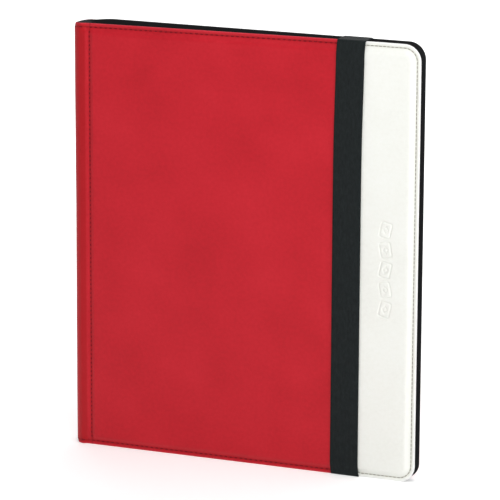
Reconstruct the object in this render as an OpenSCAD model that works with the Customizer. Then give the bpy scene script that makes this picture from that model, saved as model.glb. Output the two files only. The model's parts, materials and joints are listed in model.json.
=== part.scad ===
// Trading card binder: a padded folio with a rounded spine, bound pocket pages and an elastic strap.
// Stands upright on its bottom edges. +X towards the fore edge, -Y towards the front cover, +Z up.

/* [Binder] */
// Height of the covers
cover_h = 335; // [300:1:360]
// Width from the back of the spine to the fore edge
binder_w = 282; // [275:1:310]
// Radius of the two outer corners of each cover
corner_r = 13; // [9:0.5:20]
// Clear space between the covers at the spine
gap_spine = 15.8; // [15.8:0.1:18]
// Clear space between the covers at the fore edge
gap_fore = 9.2; // [9.2:0.1:13]

/* [Cover layers] */
// Thickness of the black lining
lining_t = 0.4; // [0.3:0.05:0.6]
// Thickness of the leatherette
leather_t = 0.8; // [0.6:0.05:1]
// Thickness of the stiffening board
board_t = 1.4; // [1:0.1:1.6]
// Thickness of the foam under the leatherette
padding_t = 0.8; // [0.5:0.1:1.2]
// Width of the flat sewn border outside the foam
border_w = 4; // [3.5:0.1:5]
// Distance over which the padded panel rises from the border
rise_w = 2.5; // [1.5:0.1:4]
// Distance of the stitching from the edge
seam_inset = 3; // [2:0.1:3.3]

/* [Spine] */
// Depth of the rounded spine, back to front
spine_d = 11; // [11:0.1:11.5]
// Radius of the spine's outer edges
spine_r = 8.5; // [6:0.5:8.5]
// Radius that rounds the spine's head and tail
head_r = 4.5; // [3:0.5:5]
// Distance of the hinge line from the back of the spine
hinge_x = 12.3; // [12.3:0.1:12.6]
// Distance of the seam beside the hinge from the back of the spine
seam_x = 17; // [17:0.1:18]

/* [Front panel] */
// Distance of the join between the red and the white leatherette from the back of the spine
join_x = 226; // [224:0.5:232]

/* [Strap] */
// Distance of the strap's near edge from the back of the spine
strap_x = 215; // [200:0.5:220]
// Width of the elastic
strap_w = 22.5; // [18:0.5:25]
// Thickness of the elastic
strap_t = 1.1; // [0.8:0.1:1.3]
// Length of each strap leg on the back cover
leg_l = 18; // [14:1:26]

/* [Pages] */
// Number of pages
page_count = 20; // [16:2:20]
// Width of a page
page_w = 246; // [244:1:250]
// Height of a page
page_h = 300; // [298:1:306]
// Thickness of a page's core sheet
core_t = 0.2; // [0.14:0.01:0.2]
// Thickness of the clear film of a pocket
film_t = 0.08; // [0.05:0.01:0.08]
// Width of a pocket
pocket_w = 66; // [64.5:0.5:67]
// Height of a pocket
pocket_h = 92; // [90:0.5:93]

/* [Hidden] */
$fn = 64;
fit = 0.05;
rim_t = lining_t + leather_t;
stack_t = lining_t + board_t + padding_t;
crown_t = stack_t + leather_t;
half_gap = gap_spine / 2;
spine_h = half_gap + crown_t;
tilt = atan((gap_spine - gap_fore) / 2 / (binder_w - hinge_x));
cover_l = binder_w - hinge_x;
cover_x0 = 1.2;
centre_x = binder_w / 2;

// Border beside the hinge: a low welt, then the seam in its furrow, then the padded panel
seam_at = seam_x - hinge_x;
furrow_w = 0.9;
welt_x0 = 1.6;
welt_x1 = seam_at - furrow_w / 2;
welt_t = 2.2;
welt_slope = 0.7;
panel_x0 = seam_at + furrow_w / 2;

// Layers of the spine, counted in from its outer surface
spine_liner_in = leather_t + padding_t + board_t;
spine_edge_r = 2;
spine_border = 5;
spine_edge_w = 3;
spine_fill_x = spine_d - spine_edge_w;

// Thread lines
thread_w = 0.5;
thread_t = 0.25;
join_inset = 2.2;

// Strap: seats where it crosses the edges of the covers, and its clearance over the padded panels
seat_top = 0.7;
strap_over = strap_t - seat_top;
strap_clear = 0.15;
strap_mid = strap_x + strap_w / 2 - hinge_x;
strap_gap = half_gap - strap_mid * tan(tilt);
strap_lean = strap_w / 2 * tan(tilt);
strap_rim_y = strap_gap + rim_t + strap_lean + strap_clear;
strap_crown_y = strap_gap + crown_t + strap_lean + strap_clear;
bend_over = 0.4;

// Binding: the pages hinge along a shallow arc, so that they fan without touching
root_play = 1.25;
root_h = half_gap - root_play;
root_r = 16;
root_x = 14.3;
root_cx = root_x - sqrt(root_r * root_r - root_h * root_h);
binding_play = 0.4;
binding_h = root_h + binding_play;
binding_thread_x = spine_d - 1;
page_z0 = (cover_h - page_h) / 2;
page_play = 0.25;
page_end_h = gap_fore / 2 - page_play;
page_tilt = asin((root_h - page_end_h) / page_w);
page_r = 5;
pocket_cols = 3;
pocket_rows = 3;
pocket_gap_x = 9;
pocket_gap_z = 6;
fore_margin = 8;

function page_name(i) = str("page_", i < 10 ? "0" : "", i);
function page_pos(i) = (i - (page_count + 1) / 2) / ((page_count - 1) / 2);
function page_root_y(i) = root_h * page_pos(i);
function page_root_x(i) = root_cx + sqrt(root_r * root_r - pow(page_root_y(i), 2));

// ---- Placing -------------------------------------------------------------------------------

// The model is drawn with x = 0 at the back of the spine, then centred on the origin
module centred() {
    translate([-centre_x, 0, 0])
        children();
}

// A cover's own frame: x runs from its hinge line to the fore edge, y = 0 is its inner face
module on_front() {
    centred()
        translate([hinge_x, -half_gap, 0])
            rotate([0, 0, tilt])
                children();
}

module on_back() {
    mirror([0, 1, 0])
        on_front()
            children();
}

// A layer of a cover, between two distances out from its inner face
module layer(from, to) {
    translate([0, -from, 0])
        rotate([90, 0, 0])
            linear_extrude(to - from)
                children();
}

// ---- Covers --------------------------------------------------------------------------------

// Outline of a cover, drawn in by an inset, with its fore-edge corners rounded
module cover_outline(inset, x0) {
    r = corner_r - inset;
    x1 = cover_l - inset;
    h = cover_h - 2 * inset;
    translate([x0, inset])
        square([x1 - r - x0, h]);
    translate([x1 - r, inset + r])
        square([r, h - 2 * r]);
    for (z = [inset + r, cover_h - inset - r])
        translate([x1 - r, z])
            circle(r);
}

// The leatherette: a thin sewn border, a low welt beside the hinge and a raised panel,
// hollow where it holds the board and the foam
module cover_skin() {
    difference() {
        union() {
            layer(lining_t, rim_t)
                cover_outline(0, cover_x0);
            hull() {
                layer(lining_t, rim_t)
                    cover_outline(border_w, panel_x0);
                layer(lining_t, crown_t)
                    cover_outline(border_w + rise_w, panel_x0 + rise_w);
            }
            welt();
        }
        layer(lining_t, stack_t)
            cover_outline(border_w + rise_w, panel_x0 + rise_w);
        strap_seats();
    }
}

// A rounded ridge of leatherette between the hinge and the seam
module welt() {
    hull() {
        layer(lining_t, rim_t)
            translate([welt_x0, border_w])
                square([welt_x1 - welt_x0, cover_h - 2 * border_w]);
        layer(lining_t, welt_t)
            translate([welt_x0 + welt_slope, border_w + welt_slope])
                square([welt_x1 - welt_x0 - 2 * welt_slope, cover_h - 2 * (border_w + welt_slope)]);
    }
}

// Shallow seats that the strap's tension presses into the top and bottom edges
module strap_seats() {
    seat_w = strap_w + 4 * fit;
    translate([strap_x - hinge_x - 2 * fit, -2 * crown_t, cover_h - seat_top])
        cube([seat_w, 3 * crown_t, strap_t]);
    translate([strap_x - hinge_x - 2 * fit, -2 * crown_t, -fit])
        cube([seat_w, 3 * crown_t, strap_t + 2 * fit]);
}

module cover_lining() {
    difference() {
        layer(0, lining_t)
            cover_outline(0, cover_x0);
        strap_seats();
    }
}

module cover_board() {
    layer(lining_t, lining_t + board_t)
        cover_outline(border_w + rise_w, panel_x0 + rise_w);
}

module cover_padding() {
    layer(lining_t + board_t, stack_t)
        cover_outline(border_w + rise_w, panel_x0 + rise_w);
}

// Keeps the part of a cover between two distances from the hinge line
module between(x0, x1) {
    intersection() {
        translate([x0, -2 * crown_t, -cover_h])
            cube([x1 - x0, 3 * crown_t, 3 * cover_h]);
        children();
    }
}

// A line of stitching that follows the cover's edge, pressed flat where the strap crosses it
module edge_seam() {
    difference() {
        layer(rim_t, rim_t + thread_t)
            difference() {
                cover_outline(seam_inset - thread_w / 2, cover_x0 + thread_w);
                cover_outline(seam_inset + thread_w / 2, cover_x0);
            }
        strap_band(rim_t + fit);
    }
}

// The space that the strap takes up over a cover, from a distance out
module strap_band(from) {
    translate([strap_x - hinge_x - fit, -2 * crown_t, -fit])
        cube([strap_w + 2 * fit, 2 * crown_t - from, cover_h + 2 * fit]);
}

// A straight vertical line of stitching on a surface a given distance out
module vertical_seam(x, out) {
    layer(out, out + thread_t)
        translate([x - thread_w / 2, seam_inset + thread_w])
            square([thread_w, cover_h - 2 * seam_inset - 2 * thread_w]);
}

// ---- Spine ---------------------------------------------------------------------------------

// Cross-section of the spine, drawn in by an inset: rounded at its back, open-ended inside
module spine_section(inset) {
    h = spine_h - inset;
    r = spine_r - inset;
    edge = inset == 0 ? spine_edge_r : 0;
    reach = inset == 0 ? spine_d : 2 * spine_d;
    translate([inset + r, -h])
        square([reach - edge - inset - r, 2 * h]);
    translate([inset, -h + r])
        square([2 * r, 2 * (h - r)]);
    for (s = [-1, 1])
        translate([inset + r, s * (h - r)])
            circle(r);
    if (inset == 0) {
        translate([reach - 2 * edge, -h + edge])
            square([2 * edge, 2 * (h - edge)]);
        for (s = [-1, 1])
            translate([reach - edge, s * (h - edge)])
                circle(edge);
    }
}

// A curved layer of the spine between two insets, from its back to a distance x_end
module spine_shell(from, to, z0, z1, x_end) {
    intersection() {
        translate([0, 0, z0])
            linear_extrude(z1 - z0)
                difference() {
                    spine_section(from);
                    spine_section(to);
                    translate([x_end, -2 * spine_h])
                        square([3 * spine_d, 4 * spine_h]);
                }
        head_and_tail();
    }
}

// Rounds the back of the spine at its head and tail
module head_and_tail() {
    translate([0, 2 * spine_h, 0])
        rotate([90, 0, 0])
            linear_extrude(4 * spine_h) {
                translate([head_r, 0])
                    square([2 * spine_d, cover_h]);
                translate([0, head_r])
                    square([head_r, cover_h - 2 * head_r]);
                for (z = [head_r, cover_h - head_r])
                    translate([head_r, z])
                        circle(head_r);
            }
}

// Lines of stitching across the spine, sunk into the leatherette at its head and tail
module spine_seams() {
    for (z = [seam_inset, cover_h - seam_inset])
        spine_shell(0, thread_t, z - thread_w / 2, z + thread_w / 2, spine_d - spine_edge_r);
}

// A layer inside the spine's leatherette, which is closed at the head, the tail and both edges
module spine_fill(from, to) {
    spine_shell(from, to, spine_border, cover_h - spine_border, spine_fill_x);
}

module spine_leather() {
    color("firebrick")
        centred()
            difference() {
                spine_shell(0, spine_liner_in, 0, cover_h, spine_d);
                spine_fill(leather_t, spine_liner_in);
                spine_seams();
            }
}

module spine_padding() {
    color("gray")
        centred()
            spine_fill(leather_t, leather_t + padding_t);
}

module spine_board() {
    color("tan")
        centred()
            spine_fill(leather_t + padding_t, spine_liner_in);
}

module spine_lining() {
    color("#1c1c1e")
        centred()
            spine_shell(spine_liner_in, spine_liner_in + lining_t, 0, cover_h, spine_d);
}

module spine_thread() {
    color("darkred")
        centred()
            spine_seams();
}

// ---- Binding -------------------------------------------------------------------------------

module binding_block() {
    color("#222224")
        centred()
            translate([0, 0, page_z0])
                linear_extrude(page_h)
                    intersection() {
                        translate([root_cx, 0])
                            circle(root_r - binding_play, $fn = 96);
                        spine_section(spine_liner_in + lining_t + fit);
                        translate([0, -binding_h])
                            square([root_r, 2 * binding_h]);
                    }
}

module binding_thread() {
    color("#303032")
        centred()
            for (s = [-1, 1])
                translate([binding_thread_x, s * (binding_h + thread_t / 2), cover_h / 2])
                    cube([thread_w, thread_t, page_h - 4 * seam_inset], center = true);
}

// ---- Hinges --------------------------------------------------------------------------------

// The flexible strip between the spine and the front cover
module hinge_strip(from, to) {
    translate([spine_d, -half_gap - to, 0])
        cube([hinge_x + cover_x0 - fit - spine_d, to - from, cover_h]);
}

module front_hinge_leather() {
    color("firebrick")
        centred()
            hinge_strip(lining_t, rim_t);
}

module front_hinge_lining() {
    color("#1c1c1e")
        centred()
            hinge_strip(0, lining_t);
}

module back_hinge_leather() {
    color("firebrick")
        centred()
            mirror([0, 1, 0])
                hinge_strip(lining_t, rim_t);
}

module back_hinge_lining() {
    color("#1c1c1e")
        centred()
            mirror([0, 1, 0])
                hinge_strip(0, lining_t);
}

// ---- Front cover ---------------------------------------------------------------------------

module front_leather() {
    color("firebrick")
        on_front()
            between(0, join_x - hinge_x)
                cover_skin();
}

module front_panel() {
    color("whitesmoke")
        on_front()
            between(join_x - hinge_x, cover_l + 1)
                cover_skin();
}

module front_padding() {
    color("gray")
        on_front()
            cover_padding();
}

module front_board() {
    color("tan")
        on_front()
            cover_board();
}

module front_lining() {
    color("#1c1c1e")
        on_front()
            cover_lining();
}

module front_edge_thread() {
    color("darkred")
        on_front()
            between(0, join_x - hinge_x)
                edge_seam();
}

module front_spine_thread() {
    color("darkred")
        on_front()
            vertical_seam(seam_at, rim_t);
}

module front_panel_thread() {
    color("#8d8a84")
        on_front()
            between(join_x - hinge_x, cover_l + 1)
                edge_seam();
}

module front_join_thread() {
    color("darkred")
        on_front()
            layer(crown_t, crown_t + strap_clear / 2)
                translate([join_x - hinge_x - join_inset, border_w + rise_w])
                    square([thread_w, cover_h - 2 * border_w - 2 * rise_w]);
}

// ---- Back cover ----------------------------------------------------------------------------

module back_leather() {
    color("firebrick")
        on_back()
            difference() {
                cover_skin();
                for (z = [leg_l, cover_h - leg_l])
                    leg_slot(z, fit);
            }
}

module back_padding() {
    color("gray")
        on_back()
            cover_padding();
}

module back_board() {
    color("tan")
        on_back()
            cover_board();
}

module back_lining() {
    color("#1c1c1e")
        on_back()
            cover_lining();
}

module back_edge_thread() {
    color("darkred")
        on_back()
            edge_seam();
}

module back_spine_thread() {
    color("darkred")
        on_back()
            vertical_seam(seam_at, rim_t);
}

// ---- Strap ---------------------------------------------------------------------------------

// The slot in the leatherette through which a leg of the strap goes in
module leg_slot(z, play) {
    translate([strap_x - hinge_x - play, -crown_t - strap_clear, z - strap_t / 2 - play])
        cube([strap_w + 2 * play, leather_t + strap_clear, strap_t + 2 * play]);
}

// A leg of the strap: out of its slot, over the padded panel and the border, to the edge
module strap_leg(reach) {
    foot = cover_h - leg_l - strap_t / 2;
    rise = cover_h - border_w - rise_w;
    tip = cover_h + reach;
    side = [
        [crown_t + fit, foot],
        [crown_t + fit, rise],
        [rim_t + 2 * fit, rise + rise_w],
        [rim_t + 2 * fit, tip],
        [rim_t + strap_t, tip],
        [rim_t + strap_t, rise + rise_w + bend_over],
        [crown_t + strap_t, rise + bend_over],
        [crown_t + strap_t, foot]
    ];
    translate([strap_x - hinge_x, 0, 0])
        rotate([90, 0, 90])
            linear_extrude(strap_w)
                polygon([for (p = side) [-p[0], p[1]]]);
    leg_slot(cover_h - leg_l, 0);
}

module strap_leg_top() {
    color("#1e2224")
        on_back()
            strap_leg(strap_over);
}

module strap_leg_bottom() {
    color("#1e2224")
        on_back()
            translate([0, 0, cover_h])
                mirror([0, 0, 1])
                    strap_leg(0);
}

// One face of the strap where it runs down the front cover, from top to bottom
function strap_face(out, bend, top, bottom) = [
    [-strap_rim_y - out, top],
    [-strap_rim_y - out, cover_h - border_w + bend],
    [-strap_crown_y - out, cover_h - border_w - rise_w + bend],
    [-strap_crown_y - out, border_w + rise_w - bend],
    [-strap_rim_y - out, border_w - bend],
    [-strap_rim_y - out, bottom]
];

module elastic_strap() {
    back_y = strap_gap + rim_t - strap_lean;
    top_in = cover_h - seat_top + fit;
    bottom_in = strap_t - fit;
    outer = strap_face(strap_t, bend_over, cover_h + strap_over, 0);
    inner = strap_face(0, 0, top_in, bottom_in);
    color("#1e2224")
        centred()
            translate([strap_x, 0, 0])
                rotate([90, 0, 90])
                    linear_extrude(strap_w)
                        polygon(concat(
                            outer,
                            [[back_y, 0], [back_y, bottom_in]],
                            [for (k = [len(inner) - 1:-1:0]) inner[k]],
                            [[back_y, top_in], [back_y, cover_h + strap_over]]
                        ));
}

// ---- Pages ---------------------------------------------------------------------------------

// A page: a core sheet with clear pockets welded to both faces, its mouths towards the spine
module page(i) {
    color("#2a2a2d")
        centred()
            translate([page_root_x(i), page_root_y(i), page_z0])
                rotate([0, 0, -page_tilt * page_pos(i)])
                    rotate([90, 0, 0]) {
                        linear_extrude(core_t, center = true)
                            page_outline();
                        linear_extrude(core_t + 2 * film_t, center = true)
                            pockets();
                    }
}

module page_outline() {
    square([page_w - page_r, page_h]);
    translate([0, page_r])
        square([page_w, page_h - 2 * page_r]);
    for (z = [page_r, page_h - page_r])
        translate([page_w - page_r, z])
            circle(page_r);
}

module pockets() {
    margin_z = (page_h - pocket_rows * pocket_h - (pocket_rows - 1) * pocket_gap_z) / 2;
    for (c = [0:pocket_cols - 1])
        for (r = [0:pocket_rows - 1])
            translate([
                page_w - fore_margin - pocket_w - c * (pocket_w + pocket_gap_x),
                margin_z + r * (pocket_h + pocket_gap_z)
            ])
                square([pocket_w, pocket_h]);
}

// ---- Parts ---------------------------------------------------------------------------------

spine_leather();
spine_padding();
spine_board();
spine_lining();
spine_thread();
binding_block();
binding_thread();
front_hinge_leather();
front_hinge_lining();
back_hinge_leather();
back_hinge_lining();
front_leather();
front_panel();
front_padding();
front_board();
front_lining();
front_edge_thread();
front_spine_thread();
front_panel_thread();
front_join_thread();
back_leather();
back_padding();
back_board();
back_lining();
back_edge_thread();
back_spine_thread();
strap_leg_top();
strap_leg_bottom();
elastic_strap();
for (i = [1:page_count])
    page(i);
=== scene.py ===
import json
import math

import bmesh
import bpy
import numpy as np
from mathutils import Matrix, Vector


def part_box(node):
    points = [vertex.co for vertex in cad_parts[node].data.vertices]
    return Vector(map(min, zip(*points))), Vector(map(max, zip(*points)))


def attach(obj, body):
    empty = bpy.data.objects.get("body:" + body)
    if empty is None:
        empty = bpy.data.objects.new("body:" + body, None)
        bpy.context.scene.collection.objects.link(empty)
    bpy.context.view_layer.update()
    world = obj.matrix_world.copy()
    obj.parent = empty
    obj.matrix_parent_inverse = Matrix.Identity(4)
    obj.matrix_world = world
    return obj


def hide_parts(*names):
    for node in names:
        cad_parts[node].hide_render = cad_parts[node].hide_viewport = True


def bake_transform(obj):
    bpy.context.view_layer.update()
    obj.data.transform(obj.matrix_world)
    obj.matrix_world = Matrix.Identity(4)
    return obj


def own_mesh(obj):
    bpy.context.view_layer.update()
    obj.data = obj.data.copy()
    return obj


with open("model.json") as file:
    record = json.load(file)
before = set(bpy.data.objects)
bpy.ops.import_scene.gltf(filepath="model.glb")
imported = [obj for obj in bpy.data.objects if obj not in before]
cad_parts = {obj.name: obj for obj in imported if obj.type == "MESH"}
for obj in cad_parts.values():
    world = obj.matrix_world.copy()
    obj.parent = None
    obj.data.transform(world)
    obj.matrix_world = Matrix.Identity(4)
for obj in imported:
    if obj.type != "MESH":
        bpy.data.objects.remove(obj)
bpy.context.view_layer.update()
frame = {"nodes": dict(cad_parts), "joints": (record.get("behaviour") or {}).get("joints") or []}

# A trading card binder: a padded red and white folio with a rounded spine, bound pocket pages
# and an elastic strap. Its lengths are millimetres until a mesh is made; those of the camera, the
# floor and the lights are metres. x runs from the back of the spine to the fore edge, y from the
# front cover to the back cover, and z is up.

MM = 0.001

# ---- Sizes, from the frame ----


def box_mm(node):
    low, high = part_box(node)
    return [v / MM for v in low], [v / MM for v in high]


JOINTS = {j["name"]: j for j in frame["joints"]}
SPINE_LOW, SPINE_HIGH = box_mm("spine_leather")
SPINE_BACK = SPINE_LOW[0]
HEIGHT = SPINE_HIGH[2]
HINGE_X = JOINTS["front_hinge"]["pos_m"][0] / MM - SPINE_BACK

# The layers of a cover, and its thickness at its turned edge and at its padded middle
LINING_T = 0.4
LEATHER_T = 0.8
BOARD_T = 1.4
RIM_T = LINING_T + LEATHER_T
CROWN_T = 3.4
# The fore-edge corners' radius, and how far inside the edge the stitches run
CORNER_R = 13
SEAM_INSET = 3

# The rounded spine's inner face: a flat, a quarter circle and a straight on each side
GAP_HALF = SPINE_HIGH[1] - CROWN_T
SPINE_R = 8.5
ARC_R = SPINE_R - CROWN_T
ARC_Y = GAP_HALF - ARC_R
A_ARC = ARC_Y + ARC_R * math.pi / 2
A_HINGE = A_ARC + HINGE_X - SPINE_R
GAP_FORE = -box_mm("front_lining")[1][1]
FORE_X = box_mm("front_lining")[1][0] - SPINE_BACK
TILT = math.atan2(GAP_HALF - GAP_FORE, FORE_X - HINGE_X)
A_FORE = A_HINGE + (FORE_X - HINGE_X) / math.cos(TILT)

# Places along a cover's width
A_STRAP = A_HINGE + 214
A_CORNER = A_FORE - CORNER_R
GROOVE_X = SPINE_HIGH[0] - SPINE_BACK
BLEND_END_X = HINGE_X + 1.2
SEAM_X = HINGE_X + 2.6
JOIN_X = box_mm("front_panel")[0][0] - SPINE_BACK

# The strap, which leans a little towards the fore edge at its top
STRAP_LOW, STRAP_HIGH = box_mm("elastic_strap")
STRAP_W = STRAP_HIGH[0] - STRAP_LOW[0]
STRAP_LEAN = 1.5
STRAP_LEAN_H = 130

# ---- Camera ----

AZIMUTH = math.radians(22.8)
ELEVATION = math.radians(13.16)
ROLL = math.radians(0.28)
DISTANCE = 2.5
LENS = 236.8
TARGET = Vector((0.0033, 0, 0.1665))


def add_object(name, data):
    obj = bpy.data.objects.new(name, data)
    bpy.context.scene.collection.objects.link(obj)
    return obj


def make_camera():
    camera = add_object("camera", bpy.data.cameras.new("camera"))
    camera.data.lens = LENS
    camera.data.clip_end = 50
    level = math.cos(ELEVATION)
    away = Vector((math.sin(AZIMUTH) * level, -math.cos(AZIMUTH) * level, math.sin(ELEVATION)))
    turn = away.to_track_quat("Z", "Y").to_matrix() @ Matrix.Rotation(ROLL, 3, "Z")
    camera.matrix_world = Matrix.Translation(TARGET + DISTANCE * away) @ turn.to_4x4()
    bpy.context.scene.camera = camera


make_camera()

# ---- Materials ----


def linear(hex_colour):
    """The linear colour of an sRGB one written as six hex digits."""
    parts = [int(hex_colour[i:i + 2], 16) / 255 for i in (0, 2, 4)]
    return [c / 12.92 if c < 0.04045 else ((c + 0.055) / 1.055) ** 2.4 for c in parts] + [1]


class Look:
    """A node material under construction."""

    def __init__(self, name, **shader):
        self.material = bpy.data.materials.new(name)
        self.material.use_nodes = True
        self.tree = self.material.node_tree
        self.shader = self.tree.nodes["Principled BSDF"]
        for socket, value in shader.items():
            self.shader.inputs[socket.replace("_", " ")].default_value = value

    def node(self, kind, settings=None, **inputs):
        made = self.tree.nodes.new("ShaderNode" + kind)
        for key, value in (settings or {}).items():
            setattr(made, key, value)
        for socket, value in inputs.items():
            self.put(value, made.inputs[socket.replace("_", " ")])
        return made

    def put(self, value, socket):
        if isinstance(value, bpy.types.NodeSocket):
            self.tree.links.new(value, socket)
        else:
            socket.default_value = value

    def cloth_uv(self):
        """Millimetres along and across the sheet, which stay with it as it bends."""
        return self.node("UVMap", {"uv_map": "cloth"}).outputs["UV"]

    def place(self):
        return self.node("TexCoord").outputs["Object"]

    def place_mm(self):
        return self.scaled(self.place(), (1 / MM, 1 / MM, 1 / MM))

    def scaled(self, vector, by):
        return self.node("Mapping", Vector=vector, Scale=by).outputs["Vector"]

    def noise(self, vector, scale, detail=2.0, roughness=0.5):
        made = self.node("TexNoise", Vector=vector, Scale=scale, Detail=detail, Roughness=roughness)
        return made.outputs["Fac"]

    def cells(self, vector, scale, feature="F1"):
        made = self.node("TexVoronoi", {"feature": feature}, Vector=vector, Scale=scale)
        return made.outputs["Distance"]

    def wave(self, vector, scale, direction, distortion=0.0):
        settings = {"wave_type": "BANDS", "bands_direction": direction, "wave_profile": "SIN"}
        made = self.node("TexWave", settings, Vector=vector, Scale=scale, Distortion=distortion)
        return made.outputs["Fac"]

    def maths(self, operation, a, b):
        made = self.node("Math", {"operation": operation})
        self.put(a, made.inputs[0])
        self.put(b, made.inputs[1])
        return made.outputs[0]

    def total(self, *parts):
        """The sum of parts, each one a value and its share."""
        out = None
        for value, share in parts:
            part = self.maths("MULTIPLY", value, share)
            out = part if out is None else self.maths("ADD", out, part)
        return out

    def between(self, value, low, high, from_low=0.0, from_high=1.0):
        """A number between low and high, as value goes from from_low to from_high."""
        ends = {"From_Min": from_low, "From_Max": from_high, "To_Min": low, "To_Max": high}
        return self.node("MapRange", Value=value, **ends).outputs["Result"]

    def colours(self, value, *stops):
        """A colour from (position, hex) stops."""
        ramp = self.node("ValToRGB", Fac=value)
        elements = ramp.color_ramp.elements
        while len(elements) < len(stops):
            elements.new(0.5)
        for element, (position, hex_colour) in zip(elements, stops):
            element.position = position
            element.color = linear(hex_colour)
        return ramp.outputs["Color"]

    def mixed(self, value, a, b, how="MIX"):
        """Colour a going to colour b. A Mix node keeps its colour sockets in these places."""
        made = self.node("Mix", {"data_type": "RGBA", "blend_type": how})
        self.put(value, made.inputs[0])
        self.put(a, made.inputs[6])
        self.put(b, made.inputs[7])
        return made.outputs[2]

    def marked(self, colour, mark, share, other, how="MIX"):
        """The colour going to another where the mesh carries a mark, by at most a share."""
        near = self.node("Attribute", {"attribute_name": mark}).outputs["Fac"]
        return self.mixed(self.between(near, 0.0, share), colour, linear(other), how)

    def finish(self, colour, roughness, height=None, depth=0.1, strength=1.0):
        """The material, with its colour, its roughness and a bump of a depth in millimetres."""
        self.put(colour, self.shader.inputs["Base Color"])
        self.put(roughness, self.shader.inputs["Roughness"])
        if height is not None:
            bump = self.node("Bump", Height=height, Distance=depth * MM, Strength=strength)
            self.put(bump.outputs["Normal"], self.shader.inputs["Normal"])
        return self.material


def leatherette(name, dark, main, light, rim_colour, spine_shade, mottle):
    """Coated cloth with a fine pebble grain and cloudy colour: a lighter colour along the turned
    edge, painted shade darkening the spine, and painted shade in the seams' furrows."""
    look = Look(name, Specular_IOR_Level=0.17, Sheen_Weight=0.02, Sheen_Roughness=0.4)
    uv = look.cloth_uv()
    clouds = look.noise(uv, 0.022, 3.0, 0.55)
    specks = look.noise(uv, 0.35, 3.0, 0.6)
    tone = look.total((clouds, 1 - mottle), (specks, mottle))
    colour = look.colours(tone, (0.2, dark), (0.5, main), (0.8, light))
    # Painted shade: darker over the spine, fading out beside the hinge.
    colour = look.marked(colour, "spine_shade", 0.65, spine_shade)
    # Lighter along the turned edge.
    colour = look.marked(colour, "rim", 0.55, rim_colour)
    # Painted shade: darker in the furrows that the seams lie in.
    colour = look.marked(colour, "furrow", 0.45, dark, "MULTIPLY")
    pebbles = look.cells(uv, 1.35)
    pores = look.cells(look.scaled(uv, (1.0, 1.3, 1.0)), 2.9, "SMOOTH_F1")
    creases = look.noise(look.scaled(uv, (0.25, 0.07, 1.0)), 1.0, 4.0, 0.6)
    height = look.total((pebbles, 0.7), (pores, 0.4), (creases, 0.9))
    return look.finish(colour, look.between(specks, 0.40, 0.54), height, depth=0.045, strength=0.55)


def elastic_web():
    """Woven elastic: ribs along its length, crossed by the weft that wraps each of them."""
    look = Look("elastic_web", Specular_IOR_Level=0.12, Sheen_Weight=0.03, Sheen_Roughness=0.45)
    uv = look.cloth_uv()
    lint = look.noise(look.scaled(uv, (1.0, 0.35, 1.0)), 0.55, 4.0, 0.75)
    weft = look.wave(uv, 0.42, "Y", 0.3)
    ribs = look.wave(uv, 0.32, "X")
    fuzz = look.noise(uv, 3.2, 4.0, 0.7)
    weave = look.maths("MULTIPLY", weft, look.between(ribs, 0.45, 1.0))
    tone = look.total((weave, 0.35), (fuzz, 0.15), (lint, 0.5))
    colour = look.colours(tone, (0.25, "0b0f10"), (0.45, "171c1d"), (0.7, "2a3030"))
    height = look.maths("ADD", weave, look.maths("MULTIPLY", fuzz, 0.35))
    return look.finish(colour, look.between(fuzz, 0.62, 0.82), height, depth=0.12, strength=0.8)


def black_lining():
    """Plain-woven lining cloth."""
    look = Look("black_lining", Specular_IOR_Level=0.3, Sheen_Weight=0.1)
    uv = look.cloth_uv()
    warp = look.wave(uv, 0.62, "X", 0.2)
    weft = look.wave(uv, 0.62, "Y", 0.2)
    weave = look.maths("MULTIPLY", warp, weft)
    wear = look.noise(uv, 0.05, 4.0, 0.6)
    tone = look.total((weave, 0.4), (wear, 0.6))
    colour = look.colours(tone, (0.2, "0f0f11"), (0.5, "171719"), (0.8, "222225"))
    return look.finish(colour, look.between(wear, 0.55, 0.75), weave, depth=0.1, strength=0.7)


def thread(name, dark, main, light):
    """Twisted sewing thread."""
    look = Look(name, Specular_IOR_Level=0.12)
    uv = look.cloth_uv()
    plies = look.wave(look.scaled(uv, (1.0, 1.4, 1.0)), 0.55, "DIAGONAL", 0.6)
    fibres = look.noise(uv, 4.0, 3.0, 0.6)
    tone = look.total((plies, 0.6), (fibres, 0.4))
    colour = look.colours(tone, (0.2, dark), (0.5, main), (0.85, light))
    return look.finish(colour, look.between(fibres, 0.5, 0.7), plies, depth=0.06, strength=0.8)


def page_core():
    """Black polypropylene sheet with a fine matt emboss."""
    look = Look("page_core", Specular_IOR_Level=0.4)
    uv = look.cloth_uv()
    emboss = look.cells(uv, 1.1)
    haze = look.noise(uv, 0.06, 4.0, 0.6)
    colour = look.colours(haze, (0.3, "17171a"), (0.5, "1e1e21"), (0.7, "26262a"))
    return look.finish(colour, look.between(haze, 0.42, 0.6), emboss, depth=0.03, strength=0.5)


def pocket_film():
    """Clear film over the black core: dark, glossy and a little rippled."""
    look = Look("pocket_film", Coat_Weight=0.9, Coat_Roughness=0.08, Specular_IOR_Level=0.55)
    uv = look.cloth_uv()
    ripple = look.noise(look.scaled(uv, (1.0, 0.4, 1.0)), 0.06, 3.0, 0.5)
    scuffs = look.noise(look.scaled(uv, (0.3, 2.0, 1.0)), 0.9, 5.0, 0.7)
    colour = look.colours(scuffs, (0.35, "1f2024"), (0.55, "2a2b30"), (0.8, "3a3c42"))
    return look.finish(colour, look.between(scuffs, 0.14, 0.3), ripple, depth=0.5, strength=0.35)


def binding_tape():
    """Woven cloth tape round the pages' bound edge."""
    look = Look("binding_tape", Specular_IOR_Level=0.25, Sheen_Weight=0.1)
    place = look.place_mm()
    weave = look.maths("MULTIPLY", look.wave(place, 0.5, "Z", 0.3), look.wave(place, 0.5, "Y", 0.3))
    fuzz = look.noise(place, 1.4, 4.0, 0.7)
    colour = look.colours(fuzz, (0.3, "121214"), (0.5, "1a1a1c"), (0.7, "242427"))
    return look.finish(colour, look.between(fuzz, 0.7, 0.85), weave, depth=0.12, strength=0.8)


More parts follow.
